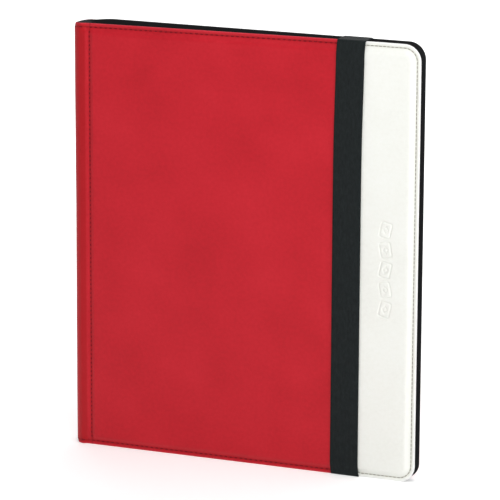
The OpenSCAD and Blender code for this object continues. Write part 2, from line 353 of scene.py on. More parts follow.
def grey_board():
    """Pressed board with fibres along its width."""
    look = Look("grey_board", Specular_IOR_Level=0.2)
    place = look.place_mm()
    fibres = look.noise(look.scaled(place, (0.3, 1.0, 1.6)), 0.7, 6.0, 0.75)
    colour = look.colours(fibres, (0.3, "7d705c"), (0.5, "978972"), (0.7, "b0a48d"))
    return look.finish(colour, look.between(fibres, 0.8, 0.95), fibres, depth=0.15, strength=0.6)


def foam():
    """Pale grey foam with small bubbles."""
    look = Look("foam", Specular_IOR_Level=0.2, Sheen_Weight=0.1)
    uv = look.cloth_uv()
    bubbles = look.cells(uv, 1.2)
    colour = look.colours(bubbles, (0.0, "8f9092"), (0.4, "b4b5b6"), (0.9, "cbcccc"))
    return look.finish(colour, look.between(bubbles, 0.75, 0.95), bubbles, depth=0.3, strength=0.8)


# Each leatherette's fifth colour is the lighter one along the turned edge; its sixth is painted
# shade for the spine.
RED = leatherette("red_leatherette", "a8131f", "b91a27", "c52330", "cf3a49", "a60812", 0.45)
WHITE = leatherette("white_leatherette", "e2e2dc", "e8e9e3", "ecede9", "f7f5f8", "e2e2dc", 0.5)
ELASTIC = elastic_web()
LINING = black_lining()
RED_THREAD = thread("red_thread", "5e0611", "7d0a18", "951425")
GREY_THREAD = thread("grey_thread", "766f66", "8c8578", "a39c8e")
BLACK_THREAD = thread("black_thread", "121214", "1d1d20", "2c2c30")
CORE = page_core()
FILM = pocket_film()
TAPE = binding_tape()
BOARD = grey_board()
FOAM = foam()

# ---- The cover's cross-section ----
# A point of a cover or of the spine is (a, z, t): a is the distance along the inner face of the
# lining from the middle of the spine, positive towards the front cover and negative towards the
# back cover, z is the height, and t is the distance out from that inner face.


def ease(k):
    """0 up to k = 0, 1 from k = 1 on, and a smooth step between them."""
    k = np.clip(k, 0, 1)
    return k * k * (3 - 2 * k)


def past(value, start, width):
    """0 up to start, 1 from a width beyond it on."""
    return ease((value - start) / width)


def bump_at(x, centre, width):
    return np.exp(-((x - centre) / width) ** 2)


def unit(vectors):
    return vectors / np.linalg.norm(vectors, axis=-1, keepdims=True)


def a_at(x):
    """The distance a along the inner face at a distance x from the back of the spine."""
    return A_ARC + x - SPINE_R if x < HINGE_X else A_HINGE + (x - HINGE_X) / math.cos(TILT)


def base(a):
    """Point (x, y) of the inner face, and the direction out of it, for the front or the back."""
    side = np.where(np.asarray(a) >= 0, -1.0, 1.0)
    a = np.abs(a)
    turn = np.clip((a - ARC_Y) / ARC_R, 0, math.pi / 2)
    x = SPINE_R - ARC_R * np.cos(turn) + np.clip(a - A_ARC, 0, A_HINGE - A_ARC)
    y = np.minimum(a, ARC_Y) + ARC_R * np.sin(turn)
    along = np.maximum(a - A_HINGE, 0)
    lean = np.where(a > A_HINGE, TILT, 0.0)
    x = x + along * np.cos(lean)
    y = y - along * np.sin(lean)
    out_x = np.where(a > A_ARC, np.sin(lean), -np.cos(turn))
    out_y = np.where(a > A_ARC, np.cos(lean), np.sin(turn))
    return x, side * y, out_x, side * out_y


# The head is lower than HEIGHT. On the front cover the drop is least at the strap and grows away
# from it. On the back cover it fades out from a distance x and over a width. The back of the spine
# drops more.
DROP_LEAST = 0.3
DROP_SLOPE = 0.0068
DROP_BLUNT = 25
BACK_DROP = 1.9
BACK_DROP_X = (4, 24)
SPINE_DROP = 0.7
SPINE_DROP_X = 7
# How far below the head the drop still tells
DROP_SPAN = 60


def head_drop(a, x):
    """How much lower the head is than HEIGHT."""
    from_strap = np.hypot(a - A_STRAP, DROP_BLUNT) - DROP_BLUNT
    front = DROP_LEAST + DROP_SLOPE * from_strap
    back = BACK_DROP * (1 - past(x, *BACK_DROP_X))
    drop = back + (front - back) * ease((a + A_ARC) / (2 * A_ARC))
    return drop + SPINE_DROP * np.clip(1 - x / SPINE_DROP_X, 0, 1) ** 2


def strap_centre(z):
    """The x of the strap's middle at a height z."""
    straight_x = (STRAP_LOW[0] + STRAP_HIGH[0]) / 2
    return straight_x + STRAP_LEAN * ease((z - HEIGHT + STRAP_LEAN_H) / STRAP_LEAN_H) ** 2


# The covers' edges are pressed in under the strap, at the head and at the tail, as far as
# PINCH_SPAN from them. The press fades out from a little inside the strap's sides.
PINCH_FRONT = 0.65
PINCH_BACK = 0.75
PINCH_TAIL = 1.15
PINCH_SPAN = 6
PINCH_INSIDE = 0.5
PINCH_FADE = 0.9


def pinch(a, x, z):
    """How far up the covers' edges are pressed in under the strap, below 0 for down."""
    beside = np.abs(x + SPINE_BACK - strap_centre(z)) - STRAP_W / 2
    under = 1 - ease((beside + PINCH_INSIDE) / PINCH_FADE)
    head = np.where(a > 0, PINCH_FRONT, PINCH_BACK) * ease((z - HEIGHT + PINCH_SPAN) / PINCH_SPAN)
    tail = PINCH_TAIL * ease((PINCH_SPAN - z) / PINCH_SPAN)
    return (tail - head) * under


def surface(a, z, t):
    """The points in space of the points (a, z, t)."""
    x, y, out_x, out_y = base(a)
    x = x + out_x * t
    z = np.broadcast_to(z, x.shape)
    z = z - head_drop(a, x) * ease((z - HEIGHT + DROP_SPAN) / DROP_SPAN) + pinch(a, x, z)
    return np.stack([x + SPINE_BACK, y + out_y * t, z], -1)


def edge_distance(a, z):
    """Distance from the outline of the covers and the spine, round the two fore-edge corners."""
    a = np.abs(a)
    low = np.minimum(z, HEIGHT - z)
    fore = A_FORE - a
    in_corner = (fore < CORNER_R) & (low < CORNER_R)
    to_centre = (CORNER_R - np.minimum(fore, CORNER_R), CORNER_R - np.minimum(low, CORNER_R))
    corner = CORNER_R - np.hypot(*to_centre)
    return np.maximum(np.where(in_corner, corner, np.minimum(low, fore)), 0)


# Thickness at distances x from the back of the spine: spine, groove, welt, seam, padded field
SECTION = [
    (1.5, CROWN_T), (7.0, 2.6), (8.2, 2.55), (10.8, 2.75), (12.4, 2.75), (SEAM_X - 0.1, 2.15),
    (SEAM_X + 0.1, 2.15), (SEAM_X + 3.4, 3.2), (SEAM_X + 9, CROWN_T),
]
# Round a cover the edge is flat, then rises to the padded field. At the spine's ends it rises
# from closer to the edge. Each pair is a distance from the edge and a width.
BORDER = (3.4, 4.6)
END_BORDER = (0.6, 3.2)
# The furrow that the stitches lie in, and the low ridge outside it
FURROW_DEPTH = 0.22
FURROW_W = 0.6
RIDGE = (0.12, 1.5, 0.8)
FOLD_R = LEATHER_T / 2
# The unevenness of the leatherette, which is full only over the thick parts of the section
PILLOW = 0.10
PILLOW_T = (2.4, 1.0)
# The spine's lining swings out past the ends of the board
END_LIFT = 1.5
LIFT_BORDER = (0.2, 2.8)
# The lining's rounded cut edge, and its gap to the leatherette. The back cover's leatherette stops
# short of the lining's edge by BACK_RECESS.
LINING_ROUND = (0.12, 0.25)
LINING_GAP = 0.02
BACK_RECESS = 0.45


def section(a):
    """The thickness of the covers and the spine away from their edges."""
    x = np.abs(a) - A_ARC + SPINE_R
    t = np.full(x.shape, CROWN_T)
    for (x0, t0), (x1, t1) in zip(SECTION, SECTION[1:]):
        t = np.where(x >= x0, t0 + (t1 - t0) * ease((x - x0) / (x1 - x0)), t)
    return t


def pillow(a, z):
    """The slight unevenness of leatherette over foam."""
    a = np.abs(a)
    broad = np.sin(a / 31 + 1.3) * np.sin(z / 43 + 0.6)
    fine = np.sin(a / 13 - z / 21) * np.sin(a / 29 + z / 17 + 2)
    return PILLOW * (broad + 0.5 * fine)


def fold(d):
    """How far the rounded edge of the leatherette has opened at a distance d from the outline."""
    k = np.clip(1 - d / FOLD_R, 0, 1)
    return FOLD_R * np.sqrt(1 - k * k)


def spine_share(a):
    """1 on the spine, falling to 0 beside the hinge."""
    return 1 - past(np.abs(a), A_ARC - 1.5, 5)


def lift(a, z):
    """How far the spine's lining swings out near the head and the tail."""
    return END_LIFT * (1 - past(edge_distance(a, z), *LIFT_BORDER)) * spine_share(a)


def leather_out(a, z):
    """The leatherette's outer face."""
    d = edge_distance(a, z)
    spine = spine_share(a)
    raised = past(d, *BORDER)
    raised = raised + (past(d, *END_BORDER) - raised) * spine
    body = section(a)
    rim = RIM_T + END_LIFT * spine
    t = rim + (body - rim) * raised
    t = t + pillow(a, z) * raised * past(body, *PILLOW_T)
    furrow = FURROW_DEPTH * (1 - 0.5 * spine) * bump_at(d, SEAM_INSET, FURROW_W)
    ridge_height, ridge_inset, ridge_width = RIDGE
    t = t - furrow + ridge_height * bump_at(d, ridge_inset, ridge_width)
    return np.where(d < FOLD_R, LINING_T + lift(a, z) + FOLD_R + fold(d), t)


def leather_in(a, z):
    """The leatherette's inner face."""
    d = edge_distance(a, z)
    lining = LINING_T + lift(a, z)
    open_t = np.maximum(leather_out(a, z) - LEATHER_T, lining)
    return np.where(d < FOLD_R, lining + FOLD_R - fold(d), open_t)


def lining_edge(a, z):
    """How much thinner each face of the lining is near its cut edge."""
    most, width = LINING_ROUND
    return most * (1 - np.clip(edge_distance(a, z) / width, 0, 1))


def lining_out(a, z):
    return LINING_T - LINING_GAP + lift(a, z) - lining_edge(a, z)


def lining_in(a, z):
    return lift(a, z) + lining_edge(a, z)


# ---- Meshes ----

# Distances from the outline at which a cover has rings of points, close together where it turns
INSETS = [0, 0.03, 0.1, 0.2, 0.3, 0.4, 0.8, 1.3, 1.8, 2.2, 2.5, 2.75, 3, 3.25, 3.5, 3.8, 4.2, 4.7]
INSETS += [5.2, 5.8, 6.4, 7, 8, 10, CORNER_R]
CORNER_STEPS = 14
WELD_DIGITS = 4
SHARP = math.radians(55)


def new_object(name, points, faces, uvs, material):
    """A mesh from points in millimetres, welded where points meet, with one UV a point."""
    points = np.asarray(points, float)
    keys = np.round(points, WELD_DIGITS)
    _, first, merged = np.unique(keys, axis=0, return_index=True, return_inverse=True)
    merged = merged.ravel()
    kept = []
    for face in faces:
        corners = [merged[i] for i in face]
        corners = [c for i, c in enumerate(corners) if c != corners[i - 1]]
        if len(set(corners)) > 2:
            kept.append(corners)
    mesh = bpy.data.meshes.new(name)
    mesh.from_pydata((points[first] * MM).tolist(), [], kept)
    mesh.update()
    layer = mesh.uv_layers.new(name="cloth")
    corner_points = np.zeros(len(mesh.loops), int)
    mesh.loops.foreach_get("vertex_index", corner_points)
    layer.data.foreach_set("uv", np.asarray(uvs, float)[first][corner_points].ravel())
    edit = bmesh.new()
    edit.from_mesh(mesh)
    bmesh.ops.recalc_face_normals(edit, faces=edit.faces)
    edit.to_mesh(mesh)
    edit.free()
    mesh.shade_smooth()
    mesh.set_sharp_from_angle(angle=SHARP)
    mesh.materials.append(material)
    return add_object(name, mesh), first


def grid_faces(rows, columns, start=0):
    """Quads of a grid of points kept row by row."""
    faces = []
    for i in range(rows - 1):
        for j in range(columns - 1):
            k = start + i * columns + j
            faces.append((k, k + 1, k + columns + 1, k + columns))
    return faces


def tube_faces(rings, sides, start=0):
    """Quads of a tube of points kept ring by ring."""
    faces = []
    for i in range(rings - 1):
        for j in range(sides):
            k = start + i * sides
            n = (j + 1) % sides
            faces.append((k + j, k + n, k + sides + n, k + sides + j))
    return faces


def run_along(path):
    """How far along a path each of its points is."""
    return np.concatenate([[0], np.cumsum(np.linalg.norm(np.diff(path, axis=0), axis=1))])


def band_domain(a_list, z_list):
    """Points (a, z) and quads of a stretch that runs straight from the tail to the head."""
    zs = INSETS[:-1] + list(z_list) + [HEIGHT - d for d in reversed(INSETS[:-1])]
    points = [(a, z) for z in zs for a in a_list]
    return points, grid_faces(len(zs), len(a_list))


def corner_arc(inset, steps):
    """Points (a, z) round the lower fore-edge corner, an inset inside the outline."""
    r = CORNER_R - inset
    turns = [math.pi / 2 * k / steps for k in range(1, steps)]
    return [(A_CORNER + r * math.sin(w), CORNER_R - r * math.cos(w)) for w in turns]


def round_domain(a_list, z_list, insets=INSETS):
    """Points (a, z) and quads of a stretch whose rings follow the two rounded fore-edge corners."""
    points = []
    for d in insets:
        lower = [(a, d) for a in a_list] + corner_arc(d, CORNER_STEPS)
        upper = [(a, HEIGHT - z) for a, z in reversed(lower)]
        points += lower + [(A_FORE - d, z) for z in z_list] + upper
    start = len(points)
    faces = grid_faces(len(insets), start // len(insets))
    points += [(a, z) for z in z_list for a in a_list]
    return points, faces + grid_faces(len(z_list), len(a_list), start)


def drawn_in(a, z, by):
    """Points moved in from the outline of a cover by a small distance."""
    up = ease((np.abs(z - HEIGHT / 2) - HEIGHT / 2 + CORNER_R) / CORNER_R)
    fore = ease((np.abs(a) - A_CORNER) / CORNER_R)
    return a - by * fore * np.sign(a), z - by * up * np.sign(z - HEIGHT / 2)


def closed_sheet(name, domain, side, outer, inner, material, recess=0.0):
    """A closed sheet between two distances out, both functions of (a, z)."""
    points, faces = domain
    flat = np.array(points) * (side, 1)
    a, z = flat.T
    _, welded = np.unique(np.round(flat, WELD_DIGITS), axis=0, return_inverse=True)
    welded = welded.ravel()
    uses = {}
    for face in faces:
        for i, j in zip(face, face[1:] + face[:1]):
            ends = tuple(sorted((welded[i], welded[j])))
            if ends[0] != ends[1]:
                uses.setdefault(ends, []).append((i, j))
    open_edges = [edges[0] for edges in uses.values() if len(edges) == 1]
    n = len(points)
    at_a, at_z = drawn_in(a, z, recess)
    all_points = np.concatenate([surface(at_a, at_z, face(a, z)) for face in (outer, inner)])
    all_faces = list(faces) + [tuple(i + n for i in reversed(face)) for face in faces]
    all_faces += [(j, i, i + n, j + n) for i, j in open_edges]
    uvs = np.tile(flat, (2, 1))
    obj, first = new_object(name, all_points, all_faces, uvs, material)
    add_marks(obj, *uvs[first].T)
    return obj


# The widths of the marks on a mesh, and the x at which the painted spine shade starts to fade
RIM_MARK_W = 1.6
FURROW_SHADE_W = 0.8
SPINE_SHADE_MARK = (10.6, 1.4)


def add_marks(obj, a, z):
    """Marks for the materials: how close each point is to the turned edge and to a seam's furrow,
    and how far it is onto the spine. The furrow and spine marks carry painted shade."""
    d = edge_distance(a, z)
    rim = 1 - past(d, 0, RIM_MARK_W)
    # The furrow mark carries painted shade into the seams' furrows.
    seam = bump_at(np.abs(a), a_at(SEAM_X), FURROW_SHADE_W)
    furrow = np.maximum(bump_at(d, SEAM_INSET, FURROW_SHADE_W), seam)
    spine_shade = 1 - past(np.abs(a) - A_ARC + SPINE_R, *SPINE_SHADE_MARK)
    for name, values in (("rim", rim), ("furrow", furrow), ("spine_shade", spine_shade)):
        attribute = obj.data.attributes.new(name, "FLOAT", "POINT")
        attribute.data.foreach_set("value", values.astype(np.float32))


def spaced(start, end, step):
    """Even values from start to end, about a step apart."""
    return list(np.linspace(start, end, max(2, round(abs(end - start) / step) + 1)))


def joined(*lists):
    """Rising lists end to end, without repeats."""
    out = []
    for values in lists:
        out += [v for v in values if not out or v > out[-1] + 1e-6]
    return out


# Places and spacings of the meshes' points
FINE = 0.35
COARSE = 4
A_GROOVE = a_at(GROOVE_X)
A_SEAM = a_at(SEAM_X)
A_JOIN = a_at(JOIN_X)
Z_LIST = spaced(CORNER_R, HEIGHT - CORNER_R, 5)
NEAR_HINGE = joined(spaced(A_GROOVE, A_SEAM + 4, FINE), spaced(A_SEAM + 4, A_SEAM + 12, 1))
# Close together beside the strap's two sides, where the covers are pinched
A_NEAR = a_at(STRAP_LOW[0] - SPINE_BACK)
A_FAR = a_at(STRAP_HIGH[0] - SPINE_BACK)
NEAR_SIDE = spaced(A_NEAR - 2.5, A_NEAR + 4, 0.5)
FAR_SIDE = spaced(A_FAR - 2.5, A_FAR + 4, 0.5)
TO_STRAP = joined(NEAR_HINGE, spaced(A_SEAM + 12, NEAR_SIDE[0], COARSE), NEAR_SIDE)


def place_on_cover(obj, nodes):
    """Bakes obj's placement into its mesh, and hides the nodes that it stands in for."""
    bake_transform(obj)
    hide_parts(*nodes)


# ---- Covers and spine ----


def make_spine():
    z_list = spaced(CORNER_R, HEIGHT - CORNER_R, 8)
    domain = band_domain(spaced(-A_GROOVE, A_GROOVE, 0.4), z_list)
    skin = closed_sheet("spine_skin", domain, 1, leather_out, leather_in, RED)
    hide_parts("spine_leather")
    lining = closed_sheet("spine_lining_cloth", domain, 1, lining_out, lining_in, LINING)
    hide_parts("spine_lining")
    for piece in (skin, lining):
        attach(piece, "spine")


def make_covers():
    to_join = joined(TO_STRAP, spaced(NEAR_SIDE[-1], A_JOIN, 2.5))
    under_strap = spaced(NEAR_SIDE[-1], FAR_SIDE[0], 2.5)
    to_corner = joined(TO_STRAP, under_strap, FAR_SIDE, spaced(FAR_SIDE[-1], A_CORNER, COARSE))
    red = closed_sheet("front_skin", band_domain(to_join, Z_LIST), 1, leather_out, leather_in, RED)
    place_on_cover(red, ["front_leather", "front_hinge_leather"])
    domain = round_domain(to_corner, Z_LIST)
    back = closed_sheet("back_skin", domain, -1, leather_out, leather_in, RED, recess=BACK_RECESS)
    place_on_cover(back, ["back_leather", "back_hinge_leather"])
    for side, name in ((1, "front"), (-1, "back")):
        cloth = closed_sheet(name + "_lining_cloth", domain, side, lining_out, lining_in, LINING)
        place_on_cover(cloth, [name + "_lining", name + "_hinge_lining"])


# The generic mark pressed into the white panel: a column of small leaning card outlines, each
# with a small diamond in it
MARK_X = 257
MARK_Z = 163.5
MARK_PITCH = 15.2
MARK_COUNT = 5
MARK_LEAN = math.radians(12)
MARK_DEPTH = 0.45
CARD = (8.4, 11.6)
CARD_R = 1.6
DIAMOND = (1.9, 2.6)
DIAMOND_R = 1.6
# Each line's flat half width, and the width of its sloping sides
CARD_LINE = (0.2375, 0.57)
DIAMOND_LINE = (0.19, 0.57)
# The share of the mark's depth that tells on the inner face
MARK_INSIDE = 0.9
# The fine mesh round the mark goes this far past it
MARK_MARGIN = (2.6, 2)


def pressed(a, z):
    """Depth of the pressed mark at (a, z)."""
    x = np.abs(a) - a_at(MARK_X)
    depth = np.zeros(x.shape)
    for k in range(MARK_COUNT):
        dz = z - MARK_Z - (k - (MARK_COUNT - 1) / 2) * MARK_PITCH
        lean = MARK_LEAN if k % 2 else -MARK_LEAN
        u = x * math.cos(lean) + dz * math.sin(lean)
        v = dz * math.cos(lean) - x * math.sin(lean)
        du = np.abs(u) - CARD[0] / 2 + CARD_R
        dv = np.abs(v) - CARD[1] / 2 + CARD_R
        outside = np.hypot(np.maximum(du, 0), np.maximum(dv, 0))
        card = outside + np.minimum(np.maximum(du, dv), 0) - CARD_R
        diamond = (np.abs(u) / DIAMOND[0] + np.abs(v) / DIAMOND[1] - 1) * DIAMOND_R
        depth = np.maximum(depth, 1 - past(np.abs(card), *CARD_LINE))
        depth = np.maximum(depth, 1 - past(np.abs(diamond), *DIAMOND_LINE))
    return MARK_DEPTH * depth


def panel_out(a, z):
    return leather_out(a, z) - pressed(a, z)


def panel_in(a, z):
    return leather_in(a, z) - pressed(a, z) * MARK_INSIDE


def make_panel():
    half = CARD[0] / 2 + MARK_MARGIN[0]
    tall = (MARK_COUNT - 1) / 2 * MARK_PITCH + CARD[1] / 2 + MARK_MARGIN[1]
    near, far = a_at(MARK_X) - half, a_at(MARK_X) + half
    low, high = MARK_Z - tall, MARK_Z + tall
    a_list = joined(
        spaced(A_JOIN, FAR_SIDE[0], 2.5), FAR_SIDE, spaced(FAR_SIDE[-1], near, 2.5),
        spaced(near, far, FINE), spaced(far, A_CORNER, 1.5),
    )
    z_list = joined(
        spaced(CORNER_R, low, COARSE), spaced(low, high, FINE),
        spaced(high, HEIGHT - CORNER_R, COARSE),
    )
    panel = closed_sheet("white_panel", round_domain(a_list, z_list), 1, panel_out, panel_in, WHITE)
    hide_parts("front_panel")
    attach(panel, "front_cover")


# ---- Foam and boards ----

FOAM_IN = LINING_T + BOARD_T
FOAM_OUT = CROWN_T - LEATHER_T - PILLOW * 1.5
FOAM_INSET = 6.5
FOAM_INSETS = [FOAM_INSET, 7, 8, 9, 10, 11.5, CORNER_R]
FOAM_EDGE_DROP = 0.58
FOAM_EDGE_W = 4
# The spine's foam stays this far from the leatherette, and is at least this thick
FOAM_CLEAR = 0.15
FOAM_LEAST = 0.05


def foam_in(a, z):
    return np.full(a.shape, FOAM_IN)


def soft_edge(near):
    """The foam's outer face, which rounds off near its edge."""
    return FOAM_OUT - FOAM_EDGE_DROP * (1 - past(near, 0, FOAM_EDGE_W))


def add_foam(name, domain, side, foam_out):
    pad = closed_sheet(name + "_padding_foam", domain, side, foam_out, foam_in, FOAM)
    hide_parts(name + "_padding")
    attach(pad, "spine" if name == "spine" else name + "_cover")


def make_foam():
    """Thin foam sheets under the leatherette, with soft edges."""
    for side, name in ((1, "front"), (-1, "back")):
        start = a_at(box_mm(name + "_padding")[0][0] - SPINE_BACK)

        def cover_foam_out(a, z, start=start):
            return soft_edge(np.minimum(np.abs(a) - start, edge_distance(a, z) - FOAM_INSET))

        domain = round_domain(spaced(start, A_CORNER, COARSE), Z_LIST, FOAM_INSETS)
        add_foam(name, domain, side, cover_foam_out)
    low, high = box_mm("spine_padding")
    reach = a_at(high[0] - SPINE_BACK)

    def spine_foam_out(a, z):
        under_leather = section(a) - LEATHER_T - FOAM_CLEAR
        rounded = soft_edge(np.minimum(reach - np.abs(a), z - low[2]))
        return np.clip(under_leather, FOAM_IN + FOAM_LEAST, rounded)

    a_list = spaced(-reach, reach, 1)
    z_list = spaced(low[2], high[2], COARSE)
    domain = ([(a, z) for z in z_list for a in a_list], grid_faces(len(z_list), len(a_list)))
    add_foam("spine", domain, 1, spine_foam_out)


# ---- Stitching ----

STITCH_STATIONS = np.linspace(-1, 1, 9)
STITCH_SIDES = 8
# How blunt a stitch's ends are, and how high its middle lies, as a share of its height
STITCH_BLUNT = 2.6
STITCH_LIES = 0.35


def sew(name, path, pitch, look, body, node):
    """A line of stitches along points (a, z)."""
    gap, dip, width, height, material, slot = look
    path = np.array(path, float)
    run = run_along(path)
    count = round(run[-1] / pitch)
    pitch = run[-1] / count
    around = np.arange(STITCH_SIDES)[:, None] * 2 * math.pi / STITCH_SIDES
    shape = np.sqrt(1 - np.abs(STITCH_STATIONS) ** STITCH_BLUNT)[:, None, None]
    sunk = dip * np.abs(STITCH_STATIONS) ** 3
    points, faces, uvs = [], [], []
    for k in range(count):
        s = (k + 0.5) * pitch + STITCH_STATIONS * (pitch - gap) / 2
        a = np.interp(s, run, path[:, 0])
        z = np.interp(s, run, path[:, 1])
        centre = surface(a, z, leather_out(a, z) + height * STITCH_LIES - sunk)
        _, _, out_x, out_y = base(a)
        normal = np.stack([out_x, out_y, np.zeros(len(a))], -1)
        across = unit(np.cross(unit(np.gradient(centre, axis=0)), normal))
        faces += tube_faces(len(s), STITCH_SIDES, len(points))
        sideways = across[:, None] * np.cos(around) * width / 2
        offsets = sideways + normal[:, None] * np.sin(around) * height / 2
        points += list((centre[:, None] + offsets * shape).reshape(-1, 3))
        uvs += [(at, w) for at in s for w in around.flat]
    obj, _ = new_object(name, points, faces, uvs, material)
    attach(obj, body)
    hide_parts(node)


def edge_path(a_start, side):
    """A seam's path round a cover's three open edges, from the tail to the head."""
    low = [(a, SEAM_INSET) for a in spaced(a_start, A_CORNER, 2)]
    low += corner_arc(SEAM_INSET, SEAM_STEPS)
    fore = [(A_FORE - SEAM_INSET, z) for z in spaced(CORNER_R, HEIGHT - CORNER_R, 2)]
    high = [(a, HEIGHT - z) for a, z in reversed(low)]
    return [(side * a, z) for a, z in low + fore + high]


def straight(a0, z0, a1, z1):
    return [(a0 + (a1 - a0) * k, z0 + (z1 - z0) * k) for k in np.linspace(0, 1, 60)]


SEAM_STEPS = 16
THREAD_PITCH = 4.2
SPINE_SEAM_PITCH = 3.5
PANEL_PITCH = 3.2
# The join's seam: its distance from the join, and how far from the head and the tail it ends
JOIN_INSET = 2.2
JOIN_ENDS = 12
# Each look of a seam: gap between stitches, dip of their ends, width, height, material and slot
RED_LOOK = (1.35, 0.2, 1.0, 0.42, RED_THREAD, "red_thread")
PANEL_LOOK = (0.15, 0.04, 0.55, 0.3, GREY_THREAD, "grey_thread")
JOIN_LOOK = (1.2, 0.05, 0.6, 0.1, RED_THREAD, "red_thread")


def make_stitches():
    start = a_at(BLEND_END_X)
    low, high = SEAM_INSET, HEIGHT - SEAM_INSET
    for side, name in ((1, "front"), (-1, "back")):
        path = straight(side * A_SEAM, low + 2, side * A_SEAM, high - 2)
        seam = name + "_spine_stitches"
        sew(seam, path, SPINE_SEAM_PITCH, RED_LOOK, name + "_cover", name + "_spine_thread")
    path = edge_path(start, -1)
    sew("back_edge_stitches", path, THREAD_PITCH, RED_LOOK, "back_cover", "back_edge_thread")
    for end, z in (("tail", low), ("head", high)):
        path = straight(start, z, A_JOIN, z)
        seam = "front_edge_stitches_" + end
        sew(seam, path, THREAD_PITCH, RED_LOOK, "front_cover", "front_edge_thread")
        path = straight(-A_GROOVE + 1, z, A_GROOVE - 1, z)
        sew("spine_stitches_" + end, path, THREAD_PITCH, RED_LOOK, "spine", "spine_thread")
    path = edge_path(A_JOIN, 1)
    sew("panel_stitches", path, PANEL_PITCH, PANEL_LOOK, "front_cover", "front_panel_thread")
    a = a_at(JOIN_X - JOIN_INSET)
    path = straight(a, JOIN_ENDS, a, HEIGHT - JOIN_ENDS)
    sew("join_stitches", path, THREAD_PITCH, JOIN_LOOK, "front_cover", "front_join_thread")


# ---- Strap ----

STRAP_T = 1.05
RIB_PITCH = 1.0
RIB_H = 0.07
BAND_POINTS = 121
SELVEDGE_POINTS = 7
ARC_POINTS = 7
# Distance from the edge at which the strap reaches the padded field
BRIDGE = 8.5
# The radii at which the strap and its legs turn over the edge and settle on the padded field
STRAP_RADII = (1.1, 14)
LEG_RADII = (0.55, 10)
# A leg starts this far from the strap, and goes this deep into its slot
LEG_GAP = 0.02
SLOT_DEPTH = 1.4


def rounded_path(corners, step=2.5):
    """Points along straight runs joined by arcs. Each corner is (y, z, radius)."""
    corners = np.array(corners, float)
    path = [corners[0, :2]]
    for before, here, after in zip(corners, corners[1:], corners[2:]):
        p, r = here[:2], here[2]
        u = unit(before[:2] - p)
        v = unit(after[:2] - p)
        half = math.acos(np.clip(u @ v, -1, 1)) / 2
        reach = r / math.tan(half)
        centre = p + unit(u + v) * r / math.sin(half)
        first, last = p + u * reach - centre, p + v * reach - centre
        sweep = math.pi - 2 * half
        for k in np.linspace(0, 1, ARC_POINTS):
            spoke = math.sin((1 - k) * sweep) * first + math.sin(k * sweep) * last
            path.append(centre + spoke / math.sin(sweep))
    path.append(corners[-1, :2])
    out = [path[0]]
    for p in path[1:]:
        n = max(1, math.ceil(np.linalg.norm(p - out[-1]) / step))
        out += [out[-1] + (p - out[-1]) * k / n for k in range(1, n + 1)]
    return np.array(out)


def band_section():
    """Outline of the elastic across its width: ribs on both faces and a rounded selvedge."""
    half_w, half_t = STRAP_W / 2, STRAP_T / 2
    across = np.linspace(-half_w + half_t, half_w - half_t, BAND_POINTS)
    ribs = half_t - RIB_H * (0.5 - 0.5 * np.cos(across / RIB_PITCH * 2 * math.pi))
    turn = np.linspace(0, math.pi, SELVEDGE_POINTS + 2)[1:-1]
    top = list(zip(across, ribs))
    right = [(half_w - half_t + half_t * math.sin(w), half_t * math.cos(w)) for w in turn]
    under = [(x, -h) for x, h in reversed(top)]
    left = [(-x, -h) for x, h in right]
    return np.array(top + right + under + left)


def band(name, path):
    """A strip of elastic that follows a path of (y, z) points."""
    outline = band_section()
    along = unit(np.gradient(path, axis=0))
    normal = np.stack([along[:, 1], -along[:, 0]], -1)
    points, uvs = [], []
    for p, n, s in zip(path, normal, run_along(path)):
        for x, h in outline:
            points.append((strap_centre(p[1]) + x, p[0] + n[0] * h, p[1] + n[1] * h))
            uvs.append((x, s))
    m = len(outline)
    faces = tube_faces(len(path), m)
    last = BAND_POINTS - 1
    under = BAND_POINTS + SELVEDGE_POINTS
    for start in (0, (len(path) - 1) * m):
        for j in range(last):
            other = start + under + last - j
            faces.append((start + j, start + j + 1, other - 1, other))
        for first, end in ((last, under), (under + last, m)):
            faces.append([start + j % m for j in range(first, end + 1)])
    obj, _ = new_object(name, points, faces, uvs, ELASTIC)
    return obj


def make_strap():
    half = STRAP_T / 2
    crown_y = STRAP_LOW[1] + half
    rim_y = crown_y + CROWN_T - RIM_T
    back_y = STRAP_HIGH[1]
    top, bottom = STRAP_HIGH[2] - half, STRAP_LOW[2] + half
    turn, settle = STRAP_RADII
    corners = [
        (back_y, top, 0), (rim_y, top - DROP_LEAST, turn), (crown_y, HEIGHT - BRIDGE, settle),
        (crown_y, BRIDGE, settle), (rim_y, bottom, turn), (back_y, bottom, 0),
    ]
    strap = band("strap_band", rounded_path(corners))
    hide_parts("elastic_strap")
    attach(strap, "strap")
    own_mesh(strap)
    make_leg("top", top)
    make_leg("bottom", bottom)


def make_leg(end, z_edge):
    """A leg of the strap, from the cover's edge to its slot in the back cover."""
    node = "strap_leg_" + end
    low, high = box_mm(node)
    half = STRAP_T / 2
    settle_z, slot_z = HEIGHT - BRIDGE, low[2] + half
    if end == "bottom":
        settle_z, slot_z = BRIDGE, high[2] - half
    start_y = STRAP_HIGH[1] + LEG_GAP
    crown_y = high[1] - half
    rim_y = crown_y - (CROWN_T - RIM_T)
    turn, settle = LEG_RADII
    corners = [
        (start_y, z_edge, 0), (rim_y, z_edge, turn), (crown_y, settle_z, settle),
        (crown_y, slot_z, turn), (crown_y - SLOT_DEPTH, slot_z, 0),
    ]
    leg = band(node + "_band", rounded_path(corners, 2))
    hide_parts(node)
    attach(leg, "back_cover")


# ---- Pages ----

PAGE_LOW, PAGE_HIGH = box_mm("page_10")
PAGE_W = 246
PAGE_H = PAGE_HIGH[2] - PAGE_LOW[2]
CORE_T = 0.2
FILM_T = 0.07
POCKET = (66, 92)
POCKET_GAP = (9, 6)
FORE_MARGIN = 8
PAGE_CORNER = 5
